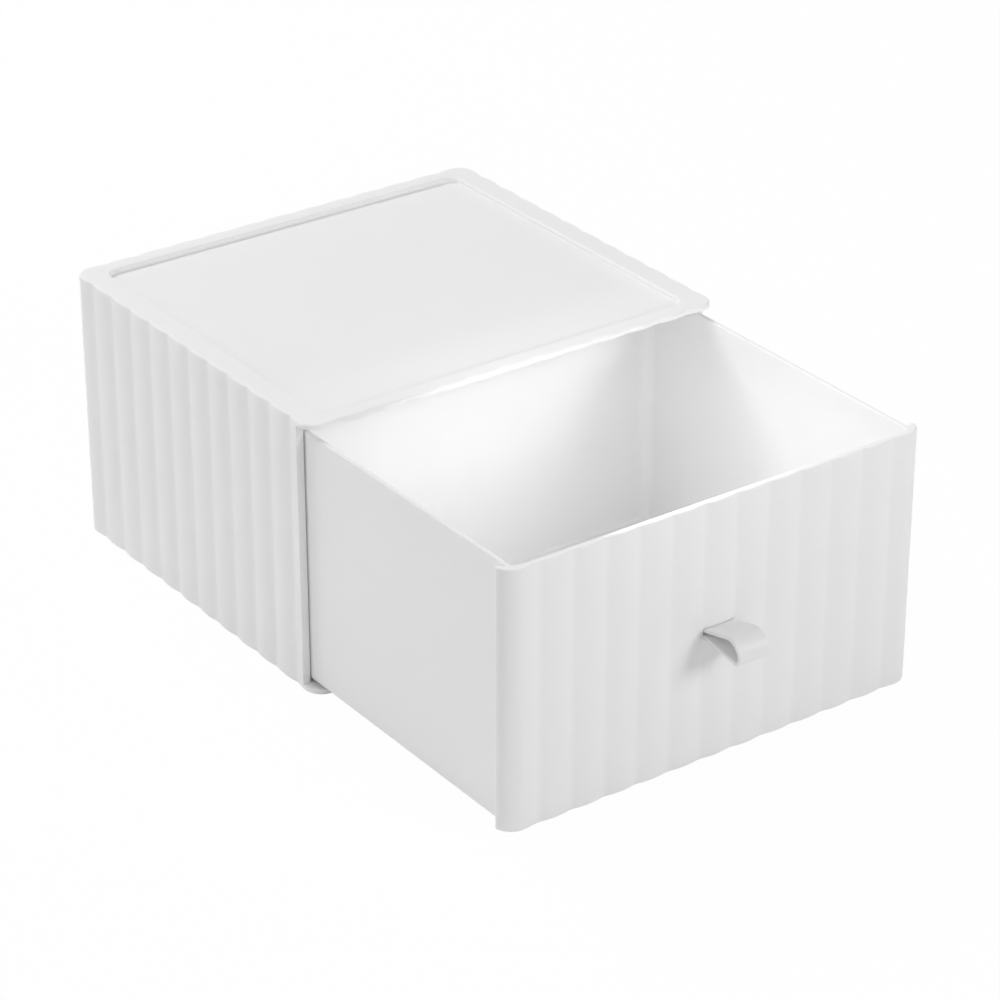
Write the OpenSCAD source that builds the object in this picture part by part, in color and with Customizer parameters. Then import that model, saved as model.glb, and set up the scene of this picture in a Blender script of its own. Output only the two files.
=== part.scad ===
// Stackable drawer box: a fluted open-fronted casing, a drawer with a fluted front panel, and a
// looped pull tab anchored behind the panel. Millimetres, +X right, +Y back, +Z up.
// The origin is the middle of the foot that the casing rests on. The drawer is drawn pulled out.

/* [Casing] */
// Width, half way between the flutes' crests and valleys
casing_w = 170; // [120:1:240]
// Depth, half way between the flutes' crests and valleys
casing_d = 154; // [120:1:220]
// Height from the underside of the bottom plate's rim to the top
casing_h = 102.5; // [70:0.5:160]
// Mean thickness of the side and back walls
casing_wall = 2.5; // [1.8:0.1:3]
// Thickness of the rims of the top and bottom plates
plate_t = 1.8; // [1.4:0.1:3]
// Radius of the plates' and walls' vertical corners
corner_r = 6.5; // [5:0.5:8.5]
// How far the side walls' front ends lie behind the plates' front edges
wall_setback = 8; // [8:0.5:14]
// Radius of the fillets between the side walls and the top plate, inside
gusset_r = 3.5; // [1.5:0.5:4]

/* [Flutes] */
// Height of a flute from valley to crest
flute_h = 0.8; // [0.4:0.1:1.2]
// Number of flutes across the front and the back
flutes_w = 12; // [6:1:18]
// Number of flutes along each side
flutes_d = 11; // [6:1:18]

/* [Stacking] */
// Depth of the recess in the top
recess_depth = 2; // [1:0.1:3]
// Width of the rim beside the recess, left and right
rim_side = 9; // [8:0.5:14]
// Width of the rim before and behind the recess
rim_end = 6.5; // [6:0.5:12]
// Radius of the recess's corners
recess_r = 5; // [3:0.5:8]
// Thickness of the recess's floor and of the foot's floor
floor_t = 1.6; // [1.2:0.1:2.4]
// How far the foot stands below the bottom plate's rim
foot_h = 1.6; // [0.8:0.1:2]
// Gap round the foot when it stands in the recess of the box below
stack_gap = 0.5; // [0.3:0.1:1]

/* [Drawer] */
// How far the drawer is pulled out
pulled_out = 110; // [0:1:120]
// Thickness of the drawer's side and back walls
drawer_wall = 1.8; // [1.2:0.1:3]
// Thickness of the drawer's floor
drawer_floor = 1.6; // [1.2:0.1:3]
// Gap between each of the drawer's side walls and the casing's side wall
side_gap = 0.5; // [0.4:0.1:1.5]
// Gap between the drawer's walls and the underside of the casing's recess floor
top_gap = 1.4; // [0.4:0.1:2]
// Gap between the shut drawer's back and the casing's back wall
back_gap = 8.5; // [1:0.5:20]
// Height of the two runners on the casing's floor
runner_h = 1.3; // [0.6:0.1:3]
// Width of the two runners
runner_w = 3; // [2:0.5:4]
// Gap between the drawer's floor and the runners
runner_gap = 0.3; // [0.2:0.1:0.6]
// Radius of the drawer's two back corners
drawer_r = 6; // [4:0.5:12]
// Radius of the fillets inside the drawer, between the panel and the side walls
front_fillet_r = 2; // [1:0.5:6]

/* [Front panel] */
// Mean thickness of the panel
panel_t = 2.6; // [1.8:0.1:3.5]
// Radius of the panel's vertical corners
panel_r = 7; // [5:0.5:8]
// How far each end of the panel lies inside the casing's mean outline
panel_inset = 0; // [0:0.1:0.6]
// Gap between the panel's lower edge and the bottom plate
panel_gap = 0.3; // [0.2:0.1:1]
// Thickness of the panel's returned ends
return_t = 2; // [1.2:0.1:2.9]
// Gap between the returned ends and the casing's side walls when the drawer is shut
shut_gap = 1.5; // [0.5:0.1:2]

/* [Pull tab] */
// Width of the strip
tab_w = 12.5; // [8:0.5:25]
// Thickness of the strip
tab_t = 1.3; // [0.8:0.1:1.8]
// Gap between the strip's two ends in the slot
tab_gap = 1.2; // [0.6:0.1:3]
// How far the loop stands out of the panel
tab_reach = 18.2; // [12:0.1:30]
// How far the loop's upper side slopes up, in degrees
tab_rise_angle = 11; // [4:1:20]
// Outer radius of the bend at the loop's upper front
tab_nose_r = 4.3; // [2.5:0.1:6]
// Outer radius of the fold at the loop's lower front
tab_fold_r = 2.5; // [2:0.1:4]
// Length of the straight stretch between the two
tab_drop = 2; // [1:0.1:5]
// Gap between the strip and the edges of its slot
slot_gap = 0.3; // [0.2:0.1:0.6]
// Width of the anchor plate behind the panel
anchor_w = 20; // [14:1:34]
// Height of the anchor plate
anchor_h = 10; // [8:0.5:14]
// Thickness of the anchor plate
anchor_t = 1.2; // [0.8:0.1:2]
// Gap between the anchor plate and the panel
anchor_gap = 0.2; // [0.1:0.1:0.5]

/* [Hidden] */
plastic = [0.93, 0.93, 0.93];
tab_plastic = [0.90, 0.90, 0.90];

// Flutes: the outline runs from crest to crest, amp either side of its middle line
amp = flute_h / 2;
// Points along one flute, and steps round one corner
flute_steps = 8;
corner_steps = 8;
// How far a cutting body runs past the face it cuts
over = 1;

// Casing, in plan
front_y = -casing_d / 2 - amp;
wall_front_y = front_y + wall_setback;
inner_w = casing_w - 2 * casing_wall;
inner_back_y = casing_d / 2 - casing_wall;
recess_w = casing_w - 2 * rim_side;
recess_d = casing_d - 2 * rim_end;
foot_w = recess_w - 2 * stack_gap;
foot_d = recess_d - 2 * stack_gap;
foot_r = recess_r - stack_gap;

// Casing, upwards
plate_z = foot_h;
plate_top_z = plate_z + plate_t;
top_z = plate_z + casing_h;
rim_z = top_z - plate_t;
recess_z = top_z - recess_depth;
recess_under_z = recess_z - floor_t;
runner_x = (foot_w + inner_w) / 4;
runner_z = plate_top_z + runner_h;

// Drawer, in plan, when shut
drawer_w = inner_w - 2 * side_gap;
drawer_back_y = inner_back_y - back_gap;
panel_w = casing_w - 2 * panel_inset;
panel_back_y = -casing_d / 2 + panel_t;
return_end_y = wall_front_y - shut_gap;
return_in_w = panel_w + 2 * amp - 2 * return_t;

// Drawer, upwards
panel_z = plate_top_z + panel_gap;
drawer_z = runner_z + runner_gap;
drawer_top_z = recess_under_z - top_gap;
tab_z = (panel_z + drawer_top_z) / 2;

// Pull tab, outwards and upwards from the middle of the slot: where the strip's ends leave it, the
// centres of the two bends of its middle line, and the slope of its lower side
bend_steps = 10;
end_up = (tab_gap + tab_t) / 2;
nose_r = tab_nose_r - tab_t / 2;
fold_r = tab_fold_r - tab_t / 2;
nose_x = tab_reach - tab_nose_r;
fold_x = tab_reach - tab_fold_r;
nose_up = end_up + (nose_x - nose_r * sin(tab_rise_angle)) * tan(tab_rise_angle)
    - nose_r * cos(tab_rise_angle);
fold_up = nose_up - tab_drop;
fold_away = norm([fold_x, fold_up + end_up]);
tab_fall_angle = asin(fold_r / fold_away) - atan2(fold_up + end_up, fold_x);
slot_h = tab_gap + 2 * tab_t + 2 * slot_gap;
anchor_y = panel_back_y + anchor_gap;

// Depth below the crests after a number of flutes: rounded ribs that meet in sharp valleys
function flute_depth(flutes) =
    flute_h * pow(1 - abs(1 - 2 * (flutes - floor(flutes))), 2);

// Points of one fluted run of the given length, from its first crest up to its last, at y = 0
function run(length, count) = [
    for (i = [0 : count * flute_steps])
        [length * i / (count * flute_steps), flute_depth(i / flute_steps)]
];

// Points of a corner's arc between two runs, without its ends
function arc(r, from) = [
    for (i = [1 : corner_steps - 1])
        [r + r * cos(from + 90 * i / corner_steps), r + r * sin(from + 90 * i / corner_steps)]
];

// A point turned by a quarter turn k times, then moved by at
function placed(points, k, at) = [
    for (p = points)
        [at.x + p.x * cos(90 * k) - p.y * sin(90 * k), at.y + p.x * sin(90 * k) + p.y * cos(90 * k)]
];

// Plan of a plate: four fluted runs joined by arcs, crests at w / 2 + amp and d / 2 + amp
module fluted_plan(w, d, r, count_w, count_d) {
    hw = w / 2 + amp;
    hd = d / 2 + amp;
    polygon(concat(
        placed(run(2 * (hw - r), count_w), 0, [-hw + r, -hd]),
        placed(arc(r, 180), 1, [hw, -hd]),
        placed(run(2 * (hd - r), count_d), 1, [hw, -hd + r]),
        placed(arc(r, 180), 2, [hw, hd]),
        placed(run(2 * (hw - r), count_w), 2, [hw - r, hd]),
        placed(arc(r, 180), 3, [-hw, hd]),
        placed(run(2 * (hd - r), count_d), 3, [-hw, hd - r]),
        placed(arc(r, 180), 0, [-hw, -hd])
    ));
}

// Rounded rectangle, centred
module round_plan(w, d, r) {
    square([w - 2 * r, d], center = true);
    square([w, d - 2 * r], center = true);
    for (x = [-1, 1], y = [-1, 1]) {
        translate([x * (w / 2 - r), y * (d / 2 - r)]) circle(r, $fn = 48);
    }
}

// The part of a plan that lies behind the line y
module behind(y) {
    intersection() {
        children();
        translate([-casing_w, y]) square([2 * casing_w, 2 * casing_d]);
    }
}

// The casing's plan with its flutes
module casing_plan() {
    fluted_plan(casing_w, casing_d, corner_r, flutes_w, flutes_d);
}

// Side walls and back wall, fluted outside and flat inside
module casing_walls() {
    translate([0, 0, plate_z]) linear_extrude(casing_h) difference() {
        behind(wall_front_y) casing_plan();
        translate([-inner_w / 2, front_y]) square([inner_w, inner_back_y - front_y]);
    }
}

// Bottom plate: a rim, and a floor that steps down to make the foot
module bottom_plate() {
    difference() {
        union() {
            translate([0, 0, plate_z]) linear_extrude(plate_t) casing_plan();
            linear_extrude(plate_top_z) round_plan(foot_w, foot_d, foot_r);
        }
        translate([0, 0, floor_t]) linear_extrude(plate_top_z)
            round_plan(foot_w - 2 * floor_t, foot_d - 2 * floor_t, foot_r - floor_t);
    }
}

// Top plate: a rim, and a floor that steps down to make the recess
module top_plate() {
    difference() {
        union() {
            translate([0, 0, rim_z]) linear_extrude(plate_t) casing_plan();
            translate([0, 0, recess_under_z]) linear_extrude(top_z - recess_under_z)
                round_plan(recess_w + 2 * floor_t, recess_d + 2 * floor_t, recess_r + floor_t);
        }
        translate([0, 0, recess_z]) linear_extrude(recess_depth + over)
            round_plan(recess_w, recess_d, recess_r);
    }
}

// Fillet under the top plate's rim, along one side wall
module gusset() {
    difference() {
        translate([-gusset_r, wall_front_y, rim_z - gusset_r])
            cube([gusset_r + casing_wall / 2, inner_back_y - wall_front_y, gusset_r + plate_t / 2]);
        translate([-gusset_r, wall_front_y - over, rim_z - gusset_r]) rotate([-90, 0, 0])
            cylinder(r = gusset_r, h = casing_d, $fn = 48);
    }
}

// Rib on the casing's floor that carries one side of the drawer
module runner() {
    translate([-runner_w / 2, wall_front_y, plate_z + plate_t / 2])
        cube([runner_w, inner_back_y - wall_front_y + casing_wall / 2, runner_h + plate_t / 2]);
}

module casing() color(plastic) {
    casing_walls();
    bottom_plate();
    top_plate();
    for (side = [0, 1]) mirror([side, 0, 0]) {
        translate([inner_w / 2, 0, 0]) gusset();
        translate([runner_x, 0, 0]) runner();
    }
}

// Front panel: fluted outside, flat inside, with its rounded ends returned towards the casing
module panel() {
    translate([0, 0, panel_z]) linear_extrude(drawer_top_z - panel_z) difference() {
        fluted_plan(panel_w, casing_d, panel_r, flutes_w, flutes_d);
        translate([-casing_w, return_end_y]) square([2 * casing_w, 2 * casing_d]);
        translate([0, panel_back_y + casing_d / 2])
            round_plan(return_in_w, casing_d, panel_r - return_t);
    }
}

// Plan of the drawer's tray behind the panel, made smaller all round by inset
module tray_plan(inset, front_r) {
    back_r = drawer_r - inset;
    w = drawer_w - 2 * inset;
    d = drawer_back_y - inset - panel_back_y;
    translate([0, panel_back_y]) {
        translate([-w / 2, front_r]) square([w, d - front_r - back_r]);
        translate([-w / 2 + front_r, 0]) square([w - 2 * front_r, d / 2]);
        translate([-w / 2 + back_r, d / 2]) square([w - 2 * back_r, d / 2]);
        for (x = [-1, 1]) {
            translate([x * (w / 2 - back_r), d - back_r]) circle(back_r, $fn = 48);
            if (front_r > 0) translate([x * (w / 2 - front_r), front_r]) circle(front_r, $fn = 48);
        }
    }
}

// Side walls, back wall and floor
module tray() {
    difference() {
        translate([0, 0, drawer_z]) linear_extrude(drawer_top_z - drawer_z) {
            tray_plan(0, 0);
            translate([-drawer_w / 2, panel_back_y - panel_t / 2]) square([drawer_w, panel_t]);
        }
        translate([0, 0, drawer_z + drawer_floor]) linear_extrude(casing_h)
            tray_plan(drawer_wall, front_fillet_r);
    }
}

// Slot in the panel that the strip comes through
module tab_slot() {
    translate([-tab_w / 2 - slot_gap, front_y - over, tab_z - slot_h / 2])
        cube([tab_w + 2 * slot_gap, panel_back_y - front_y + 2 * over, slot_h]);
}

module drawer() color(plastic) translate([0, -pulled_out, 0]) difference() {
    union() {
        panel();
        tray();
    }
    tab_slot();
}

// A bend of the strip's middle line from one heading to another, turning down, as [outwards,
// upwards, heading in degrees]
function bend(x, up, r, from, to) = [
    for (i = [0 : bend_steps])
        let (a = from + (to - from) * i / bend_steps)
            [x - r * sin(a), up + r * cos(a), a]
];

// Middle line of the strip seen from the side: out of the slot, round the loop and back into it
function strip_line(inside) = concat(
    [[-inside, end_up, 0]],
    [[0, end_up, tab_rise_angle / 2]],
    bend(nose_x, nose_up, nose_r, tab_rise_angle, -90),
    bend(fold_x, fold_up, fold_r, -90, -180 - tab_fall_angle),
    [[0, -end_up, -180 - tab_fall_angle / 2]],
    [[-inside, -end_up, -180]]
);

// A point of the strip's surface, half its thickness to one side of its middle line
function beside(p, side) =
    [p[0] - side * tab_t / 2 * sin(p[2]), p[1] + side * tab_t / 2 * cos(p[2])];

// The strip, drawn with its length along +X and its thickness along +Y
module strip(inside) {
    line = strip_line(inside);
    linear_extrude(tab_w, center = true) polygon(concat(
        [for (p = line) beside(p, 1)],
        [for (i = [len(line) - 1 : -1 : 0]) beside(line[i], -1)]
    ));
}

// Anchor plate that keeps the strip in the panel
module anchor() {
    translate([-anchor_w / 2, anchor_y, tab_z - anchor_h / 2]) cube([anchor_w, anchor_t, anchor_h]);
}

module pull_tab() color(tab_plastic) translate([0, -pulled_out, 0]) {
    anchor();
    translate([0, front_y, tab_z]) rotate([90, 0, -90]) strip(anchor_y + anchor_t / 2 - front_y);
}

casing();
drawer();
pull_tab();
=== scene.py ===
"""Looks of a white fluted drawer box: casing, drawer and looped pull tab, in satin moulded plastic.

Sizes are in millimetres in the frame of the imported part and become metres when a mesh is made.
"""

import math

import bmesh
import bpy
from mathutils import Matrix, Vector
from mathutils.geometry import delaunay_2d_cdt


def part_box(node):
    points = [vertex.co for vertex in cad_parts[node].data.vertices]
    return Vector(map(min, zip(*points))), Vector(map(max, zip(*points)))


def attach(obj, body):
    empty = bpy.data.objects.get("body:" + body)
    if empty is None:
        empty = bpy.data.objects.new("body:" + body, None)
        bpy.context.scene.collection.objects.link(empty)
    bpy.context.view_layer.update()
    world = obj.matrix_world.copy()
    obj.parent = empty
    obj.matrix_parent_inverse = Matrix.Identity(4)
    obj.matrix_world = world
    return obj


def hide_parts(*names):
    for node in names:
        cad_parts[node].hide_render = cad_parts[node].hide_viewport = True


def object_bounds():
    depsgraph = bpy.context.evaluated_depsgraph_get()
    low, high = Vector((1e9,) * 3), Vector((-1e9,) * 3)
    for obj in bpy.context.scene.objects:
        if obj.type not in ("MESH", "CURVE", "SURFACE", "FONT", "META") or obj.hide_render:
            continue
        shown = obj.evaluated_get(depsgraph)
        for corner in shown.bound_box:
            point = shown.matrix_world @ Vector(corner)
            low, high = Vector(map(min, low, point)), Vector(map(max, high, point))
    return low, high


MM = 0.001

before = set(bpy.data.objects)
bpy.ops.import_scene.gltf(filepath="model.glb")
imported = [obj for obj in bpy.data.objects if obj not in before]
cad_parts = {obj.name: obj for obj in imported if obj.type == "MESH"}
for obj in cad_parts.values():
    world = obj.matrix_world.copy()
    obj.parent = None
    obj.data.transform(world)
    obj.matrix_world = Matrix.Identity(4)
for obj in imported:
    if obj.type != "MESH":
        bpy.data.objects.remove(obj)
cad_lo, cad_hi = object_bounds()


def node_box(name):
    """Lowest and highest corner of a CAD node, in millimetres."""
    lo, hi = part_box(name)
    return lo / MM, hi / MM


_, casing_hi = node_box("casing")
drawer_lo, drawer_hi = node_box("drawer")

# Flutes: rounded ribs, counted across the front and along a side. A valley's fillet takes
# VALLEY_SHARE of a flute's pitch on each side of it.
FLUTE_H = 0.8
VALLEY_SHARE = 0.1
FLUTES_W = 12
FLUTES_D = 11
FLUTE_STEPS = 16
CORNER_STEPS = 14
AMP = FLUTE_H / 2

# Casing, in plan
HALF_W = casing_hi.x
HALF_D = casing_hi.y
CORNER_R = 6.5
WALL = 2.5
WALL_SETBACK = 8.0
WALL_FRONT_Y = -HALF_D + WALL_SETBACK
INNER_HALF_W = HALF_W - AMP - WALL
INNER_BACK_Y = HALF_D - AMP - WALL
RIM_SIDE = 9.0
RIM_END = 6.5
RECESS_HALF_W = HALF_W - AMP - RIM_SIDE
RECESS_HALF_D = HALF_D - AMP - RIM_END
RECESS_R = 5.0
STACK_GAP = 0.5

# Casing, upwards
FOOT_H = 1.6
PLATE_T = 1.8
RECESS_DEPTH = 2.0
FLOOR_T = 1.6
TOP_Z = casing_hi.z
RIM_Z = TOP_Z - PLATE_T
RECESS_Z = TOP_Z - RECESS_DEPTH
RECESS_UNDER_Z = RECESS_Z - FLOOR_T
PLATE_TOP_Z = FOOT_H + PLATE_T
GUSSET_R = 3.5
RUNNER_W = 3.0
RUNNER_H = 1.3
RUNNER_GAP = 0.3
RUNNER_X = (RECESS_HALF_W - STACK_GAP + INNER_HALF_W) / 2

# Drawer, as it stands pulled out
FRONT_Y = drawer_lo.y
BACK_Y = drawer_hi.y
DRAWER_TOP_Z = drawer_hi.z
PANEL_Z = drawer_lo.z
DRAWER_Z = PLATE_TOP_Z + RUNNER_H + RUNNER_GAP
PANEL_T = 2.6
PANEL_R = 7.0
PANEL_BACK_Y = FRONT_Y + AMP + PANEL_T
RETURN_T = 2.0
SHUT_GAP = 1.5
RETURN_DEPTH = WALL_SETBACK - SHUT_GAP
RETURN_FILLET_R = 0.5
SIDE_GAP = 0.5
DRAWER_WALL = 1.8
DRAWER_FLOOR = 1.6
DRAWER_HALF_W = INNER_HALF_W - SIDE_GAP
DRAWER_R = 6.0
FRONT_FILLET_R = 2.0

# Pull tab: its nose is rounder and its slot tighter than in the solids
TAB_W = 12.5
TAB_T = 1.3
TAB_GAP = 1.2
TAB_REACH = 18.2
TAB_RISE = math.radians(13.5)
TAB_NOSE_R = 6.3
TAB_FOLD_R = 2.5
TAB_DROP = 0.05
TAB_EDGE_R = 0.35
TAB_Z = (PANEL_Z + DRAWER_TOP_Z) / 2
SLOT_GAP = 0.1
SLOT_H = TAB_GAP + 2 * TAB_T + 2 * SLOT_GAP
ANCHOR_W = 20.0
ANCHOR_H = 10.0
ANCHOR_T = 1.2
ANCHOR_GAP = 0.2
ANCHOR_R = 1.5
ANCHOR_EDGE_R = 0.3

# Roundings of the moulded edges
TOP_EDGE_R = 0.9
BOTTOM_EDGE_R = 0.6
LIP_R = 0.8
RECESS_FILLET_R = 0.9
DRAWER_EDGE_R = 0.65
DRAWER_FLOOR_R = 1.5
CUT_EDGE_R = 0.45
CUT_EDGE_SEGMENTS = 3

# Steps of the smaller arcs
EDGE_STEPS = 5
FILLET_STEPS = 8
RETURN_STEPS = 4
RETURN_FILLET_STEPS = 6
TAB_BEND_STEPS = 12
TAB_EDGE_STEPS = 4
ANCHOR_STEPS = 6

# Cutting: how far a cutting body runs past a face, and past the box in front
OVERLAP = 1.0
REACH = 30.0

# Cut edges: how near to one a point lies, how far in from the plates' outline, and how sharp
# an edge is to be rounded
NEAR = 0.05
PLATE_EDGE_SLACK = 0.4
ROUND_FROM = math.radians(40)

# Shading: how sharp an edge is to be shaded as sharp, and normals that follow the larger faces
SHARP_FROM = math.radians(25)
NORMALS_BY_AREA = 100

# Flat faces with a hole: only what is inside the edges is kept
KEEP_INSIDE = 1
MERGE_DISTANCE = 1e-7

# Plastics: colour, gloss, and the share and depth in millimetres of light that goes in
WHITE = (0.93, 0.93, 0.93)
TAB_WHITE = (0.9, 0.9, 0.9)
HARD_FINISH = {"roughness": 0.42, "soft_share": 0.3, "soft_depth": 2.0}
SOFT_FINISH = {"roughness": 0.38, "soft_share": 0.7, "soft_depth": 2.5}
PLASTIC_IOR = 1.46
PLASTIC_SPECULAR = 0.4
NOISE_LOW = 0.3
NOISE_HIGH = 0.7
FLOW_SCALE = 18
FLOW_DETAIL = 3
FLOW_TINT = 0.985
GRAIN_SCALE = 2600
GRAIN_DETAIL = 2
GRAIN_STRENGTH = 0.12
GRAIN_HEIGHT = 0.00008
ROUGHNESS_BELOW = 0.04
ROUGHNESS_ABOVE = 0.05

# Floor and surroundings, in metres and shares of full white
FLOOR_RADIUS = 6.0
FLOOR_SEGMENTS = 96
FLOOR_WHITE = (0.9, 0.9, 0.9, 1)
FLOOR_ROUGHNESS = 0.9
FLOOR_SPECULAR = 0.1
FLOOR_GLOW = 0.98
AMBIENT = 0.25
FULL_WHITE = (1, 1, 1, 1)

# Large lamps, in metres
LAMP_DISTANCE = 1.6
LAMP_SIZE = 0.5

# Camera, in degrees and casing widths, its target from the middle of the plates' front edge
CAMERA_AZIMUTH = -35.6668
CAMERA_ELEVATION = 27.7044
CAMERA_ROLL = -0.0387
CAMERA_DISTANCE = 7.271
CAMERA_TARGET = (-0.0943, -0.0638, 0.35)
FOCAL_IN_IMAGES = 3.63635
SENSOR_MM = 36
CLIP_NEAR = 0.05
CLIP_FAR = 50


# Plan outlines: lists of (point, outward normal), anticlockwise


def flute_profile(share):
    """Depth and slope of a flute a share of its pitch away from its crest, at most half of it."""
    valley = 0.5 - VALLEY_SHARE
    slope = 8 * FLUTE_H * min(abs(share), valley)
    depth = slope * min(abs(share), valley) / 2
    past = abs(share) - valley
    if past > 0:
        depth += slope * past * (1 - past / (2 * VALLEY_SHARE))
        slope *= 1 - past / VALLEY_SHARE
    return depth, math.copysign(slope, share)


def fluted_run(length, count):
    """One fluted side from crest to crest along +X, with its solid above it."""
    total = count * FLUTE_STEPS
    points = []
    for i in range(total + 1):
        depth, slope = flute_profile((i / FLUTE_STEPS + 0.5) % 1 - 0.5)
        normal = Vector((slope * count / length, -1)).normalized()
        points.append((Vector((length * i / total, depth)), normal))
    return points


def straight_run(length, total):
    """One flat side along +X, with as many points as its fluted counterpart."""
    return [(Vector((length * i / total, 0)), Vector((0, -1))) for i in range(total + 1)]


def arc(centre, radius, start, end, steps, hollow=False):
    """An arc from angle to angle in degrees. The normals of a hollow one point to its centre."""
    points = []
    for i in range(steps + 1):
        angle = math.radians(start + (end - start) * i / steps)
        out = Vector((math.cos(angle), math.sin(angle)))
        points.append((Vector(centre) + out * radius, -out if hollow else out))
    return points


def placed(points, quarter_turns, at):
    """Points turned by quarter turns about the origin, then moved."""
    turn = Matrix.Rotation(math.pi / 2 * quarter_turns, 2)
    return [(turn @ point + Vector(at), turn @ normal) for point, normal in points]


def rounded_outline(half_w, half_d, radius, fluted):
    """Rounded rectangle, fluted or plain, whose points match from one such outline to the next."""
    outline = []
    for k, (reach, depth, count) in enumerate(
        ((half_w, half_d, FLUTES_W), (half_d, half_w, FLUTES_D)) * 2
    ):
        length = 2 * (reach - radius)
        run = fluted_run(length, count) if fluted else straight_run(length, count * FLUTE_STEPS)
        side = placed(run, 0, (-reach + radius, -depth))
        corner = arc((reach - radius, -depth + radius), radius, -90, 0, CORNER_STEPS)[1:-1]
        outline += placed(side + corner, k, (0, 0))
    return outline


def ring(outline, inset, z):
    """The outline moved inwards by inset, at height z."""
    return [(p.x - n.x * inset, p.y - n.y * inset, z) for p, n in outline]


def edge_rings(outline, radius, z, upward):
    """Rings that round the edge between a wall and a face at height z, in order of height."""
    rings = []
    for i in range(EDGE_STEPS + 1):
        angle = math.pi / 2 * i / EDGE_STEPS
        inset = radius * (1 - math.sin(angle))
        drop = radius * (1 - math.cos(angle))
        rings.append(ring(outline, inset, z + drop if upward else z - drop))
    return rings if upward else rings[::-1]


def hollow_rings(outline, lip_r, top_z, fillet_r, floor_z):
    """Rings over a hollow's rounded lip, down its wall and round the fillet to its floor."""
    angles = [math.pi / 2 * i / EDGE_STEPS for i in range(EDGE_STEPS + 1)]
    rings = []
    for angle in angles:
        height = top_z - lip_r * (1 - math.cos(angle))
        rings.append(ring(outline, -lip_r * (1 - math.sin(angle)), height))
    for angle in angles:
        height = floor_z + fillet_r * (1 - math.sin(angle))
        rings.append(ring(outline, fillet_r * (1 - math.cos(angle)), height))
    return rings


# Meshes


def skin(mesh, lower, upper):
    """Quads between two rings of equally many vertices."""
    count = len(lower)
    for i in range(count):
        j = (i + 1) % count
        mesh.faces.new((lower[i], lower[j], upper[j], upper[i]))


def loft(mesh, rings, close_start=True, close_end=True):
    """Skins a stack of rings and closes its ends. Returns the first and last ring made."""
    made = [[mesh.verts.new(point) for point in points] for points in rings]
    for lower, upper in zip(made, made[1:]):
        skin(mesh, lower, upper)
    if close_start:
        mesh.faces.new(made[0][::-1])
    if close_end:
        mesh.faces.new(made[-1])
    return made[0], made[-1]


def fill_between(mesh, outer, inner):
    """Flat face between two rings at one height, the inner one being a hole in the outer one."""
    verts = outer + inner
    count = len(outer)
    edges = [(i, (i + 1) % count) for i in range(count)]
    hole = len(inner)
    edges += [(count + (i + 1) % hole, count + i) for i in range(hole)]
    points = [v.co.xy for v in verts]
    made = delaunay_2d_cdt(points, edges, [], KEEP_INSIDE, MERGE_DISTANCE)
    faces, origins = made[2:4]
    for face in faces:
        corners = [verts[origins[i][0]] for i in face]
        inside = sum((v.co.xy for v in corners), Vector((0, 0))) / len(corners)
        if not in_loop(inside, inner):
            mesh.faces.new(corners)


def in_loop(point, loop):
    """Whether a plan point lies inside a ring of vertices."""
    inside = False
    for a, b in zip(loop, loop[1:] + loop[:1]):
        if (a.co.y > point.y) != (b.co.y > point.y):
            share = (point.y - a.co.y) / (b.co.y - a.co.y)
            if point.x < a.co.x + share * (b.co.x - a.co.x):
                inside = not inside
    return inside


def to_object(mesh, name):
    """A linked object of the bmesh, still in millimetres."""
    bmesh.ops.recalc_face_normals(mesh, faces=mesh.faces)
    data = bpy.data.meshes.new(name)
    mesh.to_mesh(data)
    mesh.free()
    obj = bpy.data.objects.new(name, data)
    bpy.context.scene.collection.objects.link(obj)
    return obj


def lofted(name, rings):
    """Solid skinned over a stack of rings."""
    mesh = bmesh.new()
    loft(mesh, rings)
    return to_object(mesh, name)


def prism(name, outline, low, high):
    """Straight-sided solid of plain plan points between two heights."""
    return lofted(name, [[(x, y, z) for x, y in outline] for z in (low, high)])


def block(name, low, high):
    """Box-shaped cutting body between two corners."""
    corners = ((low[0], low[1]), (high[0], low[1]), (high[0], high[1]), (low[0], high[1]))
    return prism(name, corners, low[2], high[2])


def apply_modifiers(obj):
    """Replaces the object's mesh by what its modifiers make of it."""
    graph = bpy.context.evaluated_depsgraph_get()
    data = bpy.data.meshes.new_from_object(obj.evaluated_get(graph), depsgraph=graph)
    old = obj.data
    obj.modifiers.clear()
    obj.data = data
    bpy.data.meshes.remove(old)


def combine(obj, tools, operation):
    """Unites the object with other solids or cuts them away, and removes them."""
    for tool in tools:
        step = obj.modifiers.new("combine", "BOOLEAN")
        step.operation = operation
        step.solver = "EXACT"
        step.object = tool
        apply_modifiers(obj)
        old = tool.data
        bpy.data.objects.remove(tool)
        bpy.data.meshes.remove(old)


def round_edges(obj, chosen, radius):
    """Rounds the sharp edges that the test picks by their middle point."""
    mesh = bmesh.new()
    mesh.from_mesh(obj.data)
    layer = mesh.edges.layers.float.new("bevel_weight_edge")
    for edge in mesh.edges:
        middle = (edge.verts[0].co + edge.verts[1].co) / 2
        sharp = len(edge.link_faces) == 2 and edge.calc_face_angle() > ROUND_FROM
        if sharp and chosen(middle):
            edge[layer] = 1.0
    mesh.to_mesh(obj.data)
    mesh.free()
    step = obj.modifiers.new("round", "BEVEL")
    step.limit_method = "WEIGHT"
    step.width = radius
    step.segments = CUT_EDGE_SEGMENTS
    apply_modifiers(obj)


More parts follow.
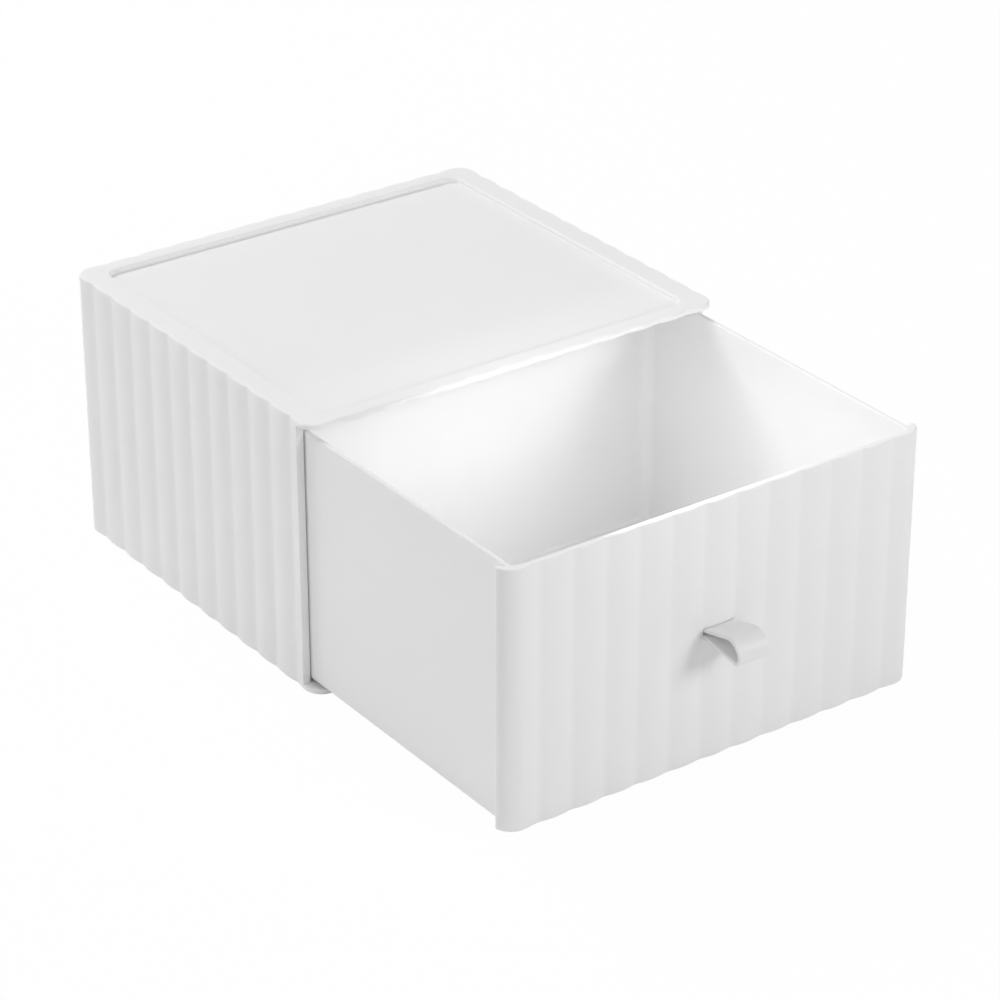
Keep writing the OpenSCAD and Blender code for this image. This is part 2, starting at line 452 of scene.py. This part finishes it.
def finish_piece(obj, body, node, material):
    """Takes the piece to metres, smooths its shading and ties it to the frame."""
    obj.data.transform(Matrix.Scale(MM, 4))
    obj.data.materials.clear()
    obj.data.materials.append(material)
    for face in obj.data.polygons:
        face.use_smooth = True
    obj.data.set_sharp_from_angle(angle=SHARP_FROM)
    step = obj.modifiers.new("normals", "WEIGHTED_NORMAL")
    step.weight = NORMALS_BY_AREA
    step.keep_sharp = True
    apply_modifiers(obj)
    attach(obj, body)
    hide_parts(node)


# Casing


def casing_shell():
    """The outside: foot, fluted walls, rounded top edge, rim and stacking recess in one skin."""
    walls = rounded_outline(HALF_W, HALF_D, CORNER_R, fluted=True)
    recess = rounded_outline(RECESS_HALF_W, RECESS_HALF_D, RECESS_R, fluted=False)
    foot = rounded_outline(
        RECESS_HALF_W - STACK_GAP, RECESS_HALF_D - STACK_GAP, RECESS_R - STACK_GAP, fluted=False
    )
    rings = edge_rings(foot, BOTTOM_EDGE_R, 0, upward=True)
    rings += [ring(foot, 0, FOOT_H)]
    rings += edge_rings(walls, BOTTOM_EDGE_R, FOOT_H, upward=True)
    rings += edge_rings(walls, TOP_EDGE_R, TOP_Z, upward=False)
    rings += hollow_rings(recess, LIP_R, TOP_Z, RECESS_FILLET_R, RECESS_Z)
    return lofted("casing_moulding", rings)


def cavity_section():
    """The cavity seen from the front: square below, with the gussets' fillets above."""
    points = [(-INNER_HALF_W, PLATE_TOP_Z), (INNER_HALF_W, PLATE_TOP_Z)]
    for side in (1, -1):
        for i in range(CORNER_STEPS + 1):
            angle = math.pi / 2 * (i if side > 0 else CORNER_STEPS - i) / CORNER_STEPS
            points.append(
                (
                    side * (INNER_HALF_W - GUSSET_R * (1 - math.cos(angle))),
                    RIM_Z - GUSSET_R * (1 - math.sin(angle)),
                )
            )
    return points


def along_y(name, section, front, back):
    """Solid of an x-z section between two y values."""
    return lofted(name, [[(x, y, z) for x, z in section] for y in (back, front)])


def cavity():
    """What is cut out of the shell: the inside and the opening in front of the walls' ends."""
    body = along_y("cavity", cavity_section(), WALL_FRONT_Y - OVERLAP, INNER_BACK_Y)
    opening = block(
        "opening",
        (-HALF_W - REACH, -HALF_D - REACH, PLATE_TOP_Z),
        (HALF_W + REACH, WALL_FRONT_Y, RIM_Z),
    )
    combine(body, [opening], "UNION")
    under = rounded_outline(
        RECESS_HALF_W + FLOOR_T, RECESS_HALF_D + FLOOR_T, RECESS_R + FLOOR_T, fluted=False
    )
    rings = edge_rings(under, BOTTOM_EDGE_R, RECESS_UNDER_Z, upward=True)
    recess_floor = lofted("recess_floor", rings + [ring(under, 0, TOP_Z)])
    foot_in = STACK_GAP + FLOOR_T
    well = rounded_outline(
        RECESS_HALF_W - foot_in, RECESS_HALF_D - foot_in, RECESS_R - foot_in, fluted=False
    )
    rings = edge_rings(well, BOTTOM_EDGE_R, FLOOR_T, upward=True)
    foot_well = lofted("foot_well", rings + [ring(well, 0, PLATE_TOP_Z + OVERLAP)])
    runners = [
        block(
            "runner",
            (side * RUNNER_X - RUNNER_W / 2, WALL_FRONT_Y, PLATE_TOP_Z - OVERLAP),
            (side * RUNNER_X + RUNNER_W / 2, HALF_D, PLATE_TOP_Z + RUNNER_H),
        )
        for side in (-1, 1)
    ]
    combine(body, [foot_well], "UNION")
    combine(body, [recess_floor] + runners, "DIFFERENCE")
    return body


def front_edge(middle):
    """Whether a point lies on an edge of the opening: a wall's end or a plate's inner edge."""
    at_wall = abs(middle.y - WALL_FRONT_Y) < NEAR and abs(middle.x) > INNER_HALF_W - NEAR
    at_wall = at_wall and PLATE_TOP_Z + NEAR < middle.z < RIM_Z - NEAR
    on_plate = min(abs(middle.z - PLATE_TOP_Z), abs(middle.z - RIM_Z)) < NEAR
    on_plate = on_plate and middle.y < WALL_FRONT_Y - NEAR and outside_plan(middle)
    return at_wall or on_plate


def outside_plan(middle):
    """Whether a point lies on the plates' outer edge and not on what is inside it."""
    margin = FLUTE_H + PLATE_EDGE_SLACK
    if abs(middle.x) > HALF_W - margin or middle.y < -HALF_D + margin:
        return True
    corner = Vector((HALF_W - CORNER_R, -HALF_D + CORNER_R))
    away = Vector((abs(middle.x), middle.y)) - corner
    return away.x > 0 > away.y and away.length > CORNER_R - margin


def build_casing(material):
    body = casing_shell()
    combine(body, [cavity()], "DIFFERENCE")
    round_edges(body, front_edge, CUT_EDGE_R)
    finish_piece(body, "casing", "casing", material)


# Drawer


def returned_end():
    """Right-hand end of the panel in plan: corner, rounded end, and back in to the side wall."""
    centre = Vector((HALF_W - PANEL_R, FRONT_Y + PANEL_R))
    middle_r = PANEL_R - RETURN_T / 2
    inner_r = PANEL_R - RETURN_T
    end_r = RETURN_T / 2
    turn = math.asin((RETURN_DEPTH - PANEL_R - end_r) / middle_r)
    end_angle = math.degrees(turn)
    end_centre = centre + middle_r * Vector((math.cos(turn), math.sin(turn)))
    fillet_x = DRAWER_HALF_W + RETURN_FILLET_R
    away = fillet_x - centre.x
    fillet_y = centre.y - math.sqrt((inner_r - RETURN_FILLET_R) ** 2 - away**2)
    meet = math.degrees(math.atan2(fillet_y - centre.y, away))
    points = arc(centre, PANEL_R, -90, end_angle, CORNER_STEPS)
    points += arc(end_centre, end_r, end_angle, end_angle + 180, FILLET_STEPS)[1:]
    points += arc(centre, inner_r, end_angle, meet, RETURN_STEPS, hollow=True)[1:]
    fillet = (fillet_x, fillet_y)
    points += arc(fillet, RETURN_FILLET_R, meet, -180, RETURN_FILLET_STEPS, hollow=True)[1:]
    return points


def mirrored(points):
    """The same stretch of outline on the other side, in its own order."""
    return [(Vector((-p.x, p.y)), Vector((-n.x, n.y))) for p, n in reversed(points)]


def drawer_outline():
    """Outline of the drawer in plan: fluted panel, returned ends, side walls and back."""
    length = 2 * (HALF_W - PANEL_R)
    front = placed(fluted_run(length, FLUTES_W), 0, (-HALF_W + PANEL_R, FRONT_Y))
    corner = (DRAWER_HALF_W - DRAWER_R, BACK_Y - DRAWER_R)
    half = returned_end()[1:] + arc(corner, DRAWER_R, 0, 90, CORNER_STEPS)
    return front + half + mirrored(half)


def pocket_outline():
    """Outline of the drawer's inside in plan, with its normals pointing outwards."""
    half_w = DRAWER_HALF_W - DRAWER_WALL
    back_r = DRAWER_R - DRAWER_WALL
    front = (half_w - FRONT_FILLET_R, PANEL_BACK_Y + FRONT_FILLET_R)
    back = (half_w - back_r, BACK_Y - DRAWER_WALL - back_r)
    half = arc(front, FRONT_FILLET_R, -90, 0, FILLET_STEPS)
    half += arc(back, back_r, 0, 90, CORNER_STEPS)
    return half + mirrored(half)


def tray_underside():
    """Cutting body that raises the tray's underside above the panel's lower edge."""
    half_w = DRAWER_HALF_W + SIDE_GAP
    corner = half_w - (HALF_W - PANEL_R)
    centre = (half_w - corner, PANEL_BACK_Y + corner)
    right = [(p.x, p.y) for p, _ in arc(centre, corner, -90, 0, FILLET_STEPS)]
    right.append((half_w, BACK_Y + OVERLAP))
    left = [(-x, y) for x, y in reversed(right)]
    return prism("tray_underside", right + left, PANEL_Z - OVERLAP, DRAWER_Z)


def tray_edge(middle):
    """Whether a point lies on the tray's lower outer edge."""
    return abs(middle.z - DRAWER_Z) < NEAR and middle.y > PANEL_BACK_Y + PANEL_R


def build_drawer(material):
    outline = drawer_outline()
    pocket = pocket_outline()
    mesh = bmesh.new()
    outer = edge_rings(outline, BOTTOM_EDGE_R, PANEL_Z, upward=True)
    outer += edge_rings(outline, DRAWER_EDGE_R, DRAWER_TOP_Z, upward=False)
    _, rim = loft(mesh, outer, close_end=False)
    inner = hollow_rings(
        pocket, DRAWER_EDGE_R, DRAWER_TOP_Z, DRAWER_FLOOR_R, DRAWER_Z + DRAWER_FLOOR
    )
    mouth, _ = loft(mesh, inner, close_start=False)
    fill_between(mesh, rim, mouth)
    body = to_object(mesh, "drawer_moulding")
    slot = block(
        "slot",
        (-TAB_W / 2 - SLOT_GAP, FRONT_Y - OVERLAP, TAB_Z - SLOT_H / 2),
        (TAB_W / 2 + SLOT_GAP, PANEL_BACK_Y + OVERLAP, TAB_Z + SLOT_H / 2),
    )
    combine(body, [tray_underside(), slot], "DIFFERENCE")
    round_edges(body, tray_edge, CUT_EDGE_R)
    finish_piece(body, "drawer", "drawer", material)


# Pull tab


def bend(out, up, radius, start, end):
    """Middle line of a bend about (out, up), as (outwards, upwards, heading)."""
    line = []
    for i in range(TAB_BEND_STEPS + 1):
        turn = start + (end - start) * i / TAB_BEND_STEPS
        line.append((out - radius * math.sin(turn), up + radius * math.cos(turn), turn))
    return line


def tab_line():
    """Middle line of the loop seen from the side, from one of its hidden ends to the other."""
    end_up = (TAB_GAP + TAB_T) / 2
    nose_r = TAB_NOSE_R - TAB_T / 2
    fold_r = TAB_FOLD_R - TAB_T / 2
    nose_out = TAB_REACH - TAB_NOSE_R
    fold_out = TAB_REACH - TAB_FOLD_R
    nose_up = end_up + (nose_out - nose_r * math.sin(TAB_RISE)) * math.tan(TAB_RISE)
    nose_up -= nose_r * math.cos(TAB_RISE)
    fold_up = nose_up - TAB_DROP
    away = math.hypot(fold_out, fold_up + end_up)
    fall = math.asin(fold_r / away) - math.atan2(fold_up + end_up, fold_out)
    inside = PANEL_BACK_Y + ANCHOR_GAP + ANCHOR_T / 2 - FRONT_Y
    line = [(-inside, end_up, 0.0), (0.0, end_up, TAB_RISE / 2)]
    line += bend(nose_out, nose_up, nose_r, TAB_RISE, -math.pi / 2)
    line += bend(fold_out, fold_up, fold_r, -math.pi / 2, -math.pi - fall)
    line += [(0.0, -end_up, -math.pi - fall / 2), (-inside, -end_up, -math.pi)]
    return line


def rounded_section(half_w, half_h, radius, steps):
    """Rounded rectangle as (point, outward normal)."""
    points = []
    for k, (x, y) in enumerate(((1, -1), (1, 1), (-1, 1), (-1, -1))):
        centre = (x * (half_w - radius), y * (half_h - radius))
        points += arc(centre, radius, -90 + 90 * k, 90 * k, steps)
    return points


def anchor_rings():
    """Rings of the rounded anchor plate that lies behind the panel."""
    front = PANEL_BACK_Y + ANCHOR_GAP
    back = front + ANCHOR_T
    corners = rounded_section(ANCHOR_W / 2, ANCHOR_H / 2, ANCHOR_R, ANCHOR_STEPS)
    rings = []
    for inset, y in (
        (ANCHOR_EDGE_R, front),
        (0, front + ANCHOR_EDGE_R),
        (0, back - ANCHOR_EDGE_R),
        (ANCHOR_EDGE_R, back),
    ):
        rings.append([(p.x - n.x * inset, y, TAB_Z + p.y - n.y * inset) for p, n in corners])
    return rings


def build_tab(material):
    section = rounded_section(TAB_W / 2, TAB_T / 2, TAB_EDGE_R, TAB_EDGE_STEPS)
    rings = []
    for out, up, turn in tab_line():
        points = []
        for p, _ in section:
            y = FRONT_Y - out + p.y * math.sin(turn)
            points.append((p.x, y, TAB_Z + up + p.y * math.cos(turn)))
        rings.append(points)
    strip = lofted("pull_strip", rings)
    combine(strip, [lofted("anchor", anchor_rings())], "UNION")
    finish_piece(strip, "drawer", "pull_tab", material)


# Materials


def node_material(name):
    """A new material with its nodes, its links and its shader."""
    material = bpy.data.materials.new(name)
    material.use_nodes = True
    nodes = material.node_tree.nodes
    return material, nodes, material.node_tree.links, nodes["Principled BSDF"]


def noise(nodes, links, scale, detail):
    """Noise fixed to the object, as a value."""
    place = nodes.new("ShaderNodeTexCoord")
    texture = nodes.new("ShaderNodeTexNoise")
    texture.inputs["Scale"].default_value = scale
    texture.inputs["Detail"].default_value = detail
    links.new(place.outputs["Object"], texture.inputs["Vector"])
    return texture.outputs["Fac"]


def spread(nodes, links, value, low, high):
    """The middle of a noise's values spread from low to high."""
    step = nodes.new("ShaderNodeMapRange")
    step.inputs["From Min"].default_value = NOISE_LOW
    step.inputs["From Max"].default_value = NOISE_HIGH
    step.inputs["To Min"].default_value = low
    step.inputs["To Max"].default_value = high
    links.new(value, step.inputs["Value"])
    return step.outputs["Result"]


def plastic(name, colour, roughness, soft_share, soft_depth):
    """Satin moulded plastic: fine grain, faint flow marks and a little variation in its gloss."""
    material, nodes, links, shader = node_material(name)
    shader.inputs["IOR"].default_value = PLASTIC_IOR
    shader.inputs["Specular IOR Level"].default_value = PLASTIC_SPECULAR
    shader.inputs["Subsurface Weight"].default_value = soft_share
    shader.inputs["Subsurface Radius"].default_value = (1, 1, 1)
    shader.inputs["Subsurface Scale"].default_value = soft_depth * MM

    flow = noise(nodes, links, FLOW_SCALE, FLOW_DETAIL)
    shade = nodes.new("ShaderNodeMix")
    shade.data_type = "RGBA"
    shade.inputs["A"].default_value = (*(c * FLOW_TINT for c in colour), 1)
    shade.inputs["B"].default_value = (*colour, 1)
    links.new(spread(nodes, links, flow, 0, 1), shade.inputs["Factor"])
    links.new(shade.outputs["Result"], shader.inputs["Base Color"])

    grain = noise(nodes, links, GRAIN_SCALE, GRAIN_DETAIL)
    lowest = roughness - ROUGHNESS_BELOW
    highest = roughness + ROUGHNESS_ABOVE
    links.new(spread(nodes, links, grain, lowest, highest), shader.inputs["Roughness"])

    bump = nodes.new("ShaderNodeBump")
    bump.inputs["Strength"].default_value = GRAIN_STRENGTH
    bump.inputs["Distance"].default_value = GRAIN_HEIGHT
    links.new(grain, bump.inputs["Height"])
    links.new(bump.outputs["Normal"], shader.inputs["Normal"])
    return material


def seen_by_camera(nodes, links):
    """1 for what the camera sees, straight or mirrored in gloss, and 0 for light on the object."""
    path = nodes.new("ShaderNodeLightPath")
    seen = nodes.new("ShaderNodeMath")
    seen.operation = "MAXIMUM"
    links.new(path.outputs["Is Camera Ray"], seen.inputs[0])
    links.new(path.outputs["Is Glossy Ray"], seen.inputs[1])
    return seen.outputs["Value"]


def floor_material():
    """Pale floor that reads as white and keeps a soft share of the object's shadow."""
    material, nodes, links, shader = node_material("floor_white")
    shader.inputs["Base Color"].default_value = FLOOR_WHITE
    shader.inputs["Roughness"].default_value = FLOOR_ROUGHNESS
    shader.inputs["Specular IOR Level"].default_value = FLOOR_SPECULAR
    glow = nodes.new("ShaderNodeEmission")
    glow.inputs["Color"].default_value = FULL_WHITE
    glow.inputs["Strength"].default_value = 1.0
    share = nodes.new("ShaderNodeMath")
    share.operation = "MULTIPLY"
    share.inputs[1].default_value = FLOOR_GLOW
    links.new(seen_by_camera(nodes, links), share.inputs[0])
    mix = nodes.new("ShaderNodeMixShader")
    links.new(share.outputs["Value"], mix.inputs["Fac"])
    links.new(shader.outputs["BSDF"], mix.inputs[1])
    links.new(glow.outputs["Emission"], mix.inputs[2])
    links.new(mix.outputs["Shader"], nodes["Material Output"].inputs["Surface"])
    return material


# Stage, light and camera


def build_floor():
    mesh = bmesh.new()
    bmesh.ops.create_circle(mesh, cap_ends=True, segments=FLOOR_SEGMENTS, radius=FLOOR_RADIUS)
    data = bpy.data.meshes.new("floor")
    mesh.to_mesh(data)
    mesh.free()
    data.materials.append(floor_material())
    floor = bpy.data.objects.new("floor", data)
    bpy.context.scene.collection.objects.link(floor)


def build_world():
    """Even white surroundings: full white to the camera, dimmer as light on the object."""
    world = bpy.data.worlds.new("studio")
    bpy.context.scene.world = world
    world.use_nodes = True
    nodes = world.node_tree.nodes
    links = world.node_tree.links
    background = nodes["Background"]
    background.inputs["Color"].default_value = FULL_WHITE
    level = nodes.new("ShaderNodeMapRange")
    level.inputs["To Min"].default_value = AMBIENT
    level.inputs["To Max"].default_value = 1.0
    links.new(seen_by_camera(nodes, links), level.inputs["Value"])
    links.new(level.outputs["Result"], background.inputs["Strength"])


def direction(azimuth, elevation):
    """Unit vector away from the box. Azimuth 0 is in front and 90 on the right, in degrees."""
    a = math.radians(azimuth)
    e = math.radians(elevation)
    return Vector((math.sin(a) * math.cos(e), -math.cos(a) * math.cos(e), math.sin(e)))


def area_lamp(name, place, away, size, watts):
    """Square lamp at a place, shining against the direction away."""
    lamp = bpy.data.lights.new(name, "AREA")
    lamp.shape = "SQUARE"
    lamp.size = size
    lamp.energy = watts
    holder = bpy.data.objects.new(name, lamp)
    bpy.context.scene.collection.objects.link(holder)
    holder.location = place
    holder.rotation_mode = "QUATERNION"
    holder.rotation_quaternion = away.to_track_quat("Z", "Y")
    return holder


def softbox(name, azimuth, elevation, watts, size=LAMP_SIZE):
    """Large lamp that faces the middle of the box from a direction."""
    away = direction(azimuth, elevation)
    place = (cad_lo + cad_hi) / 2 + away * LAMP_DISTANCE
    return area_lamp(name, place, away, size, watts)


def near_lamp(name, place, target, size, watts):
    """Small lamp that fills the pulled-out drawer, placed and aimed in millimetres."""
    away = Vector(place) - Vector(target)
    lamp = area_lamp(name, Vector(place) * MM, away, size, watts)
    lamp.visible_glossy = False
    lamp.visible_camera = False


def build_lights():
    softbox("left_back", azimuth=-150, elevation=45, watts=6.5)
    softbox("back", azimuth=180, elevation=45, watts=6.5).visible_glossy = False
    softbox("left", azimuth=-100, elevation=25, watts=3.2)
    softbox("right_front", azimuth=24, elevation=25, watts=7.5)
    softbox("left_front", azimuth=-30, elevation=25, watts=1.5)
    softbox("top", azimuth=0, elevation=88, watts=0.8, size=1.0)
    near_lamp("drawer_front", place=(20, -240, 260), target=(0, -44, 50), size=0.1, watts=0.03)
    near_lamp("drawer_low", place=(-30, -145, 118), target=(50, -130, 10), size=0.06, watts=0.04)


def build_camera():
    """Camera at the photograph's angle."""
    width = 2 * (HALF_W - AMP) * MM
    target = Vector([share * width for share in CAMERA_TARGET])
    target += Vector((0, (-HALF_D + AMP) * MM, FOOT_H * MM))
    back = direction(CAMERA_AZIMUTH, CAMERA_ELEVATION)
    right = (-back).cross(Vector((0, 0, 1))).normalized()
    up = right.cross(-back)
    roll = math.radians(CAMERA_ROLL)
    tilted_right = math.cos(roll) * right + math.sin(roll) * up
    tilted_up = -math.sin(roll) * right + math.cos(roll) * up
    data = bpy.data.cameras.new("camera")
    data.sensor_width = SENSOR_MM
    data.lens = FOCAL_IN_IMAGES * SENSOR_MM
    data.clip_start = CLIP_NEAR
    data.clip_end = CLIP_FAR
    camera = bpy.data.objects.new("camera", data)
    bpy.context.scene.collection.objects.link(camera)
    pose = Matrix((tilted_right, tilted_up, back)).transposed().to_4x4()
    pose.translation = target + back * (CAMERA_DISTANCE * width)
    camera.matrix_world = pose
    bpy.context.scene.camera = camera


build_casing(plastic("casing_white", WHITE, **HARD_FINISH))
build_drawer(plastic("drawer_white", WHITE, **HARD_FINISH))
build_tab(plastic("tab_white", TAB_WHITE, **SOFT_FINISH))
build_floor()
build_world()
build_lights()
build_camera()
bpy.context.scene.view_settings.view_transform = "Standard"
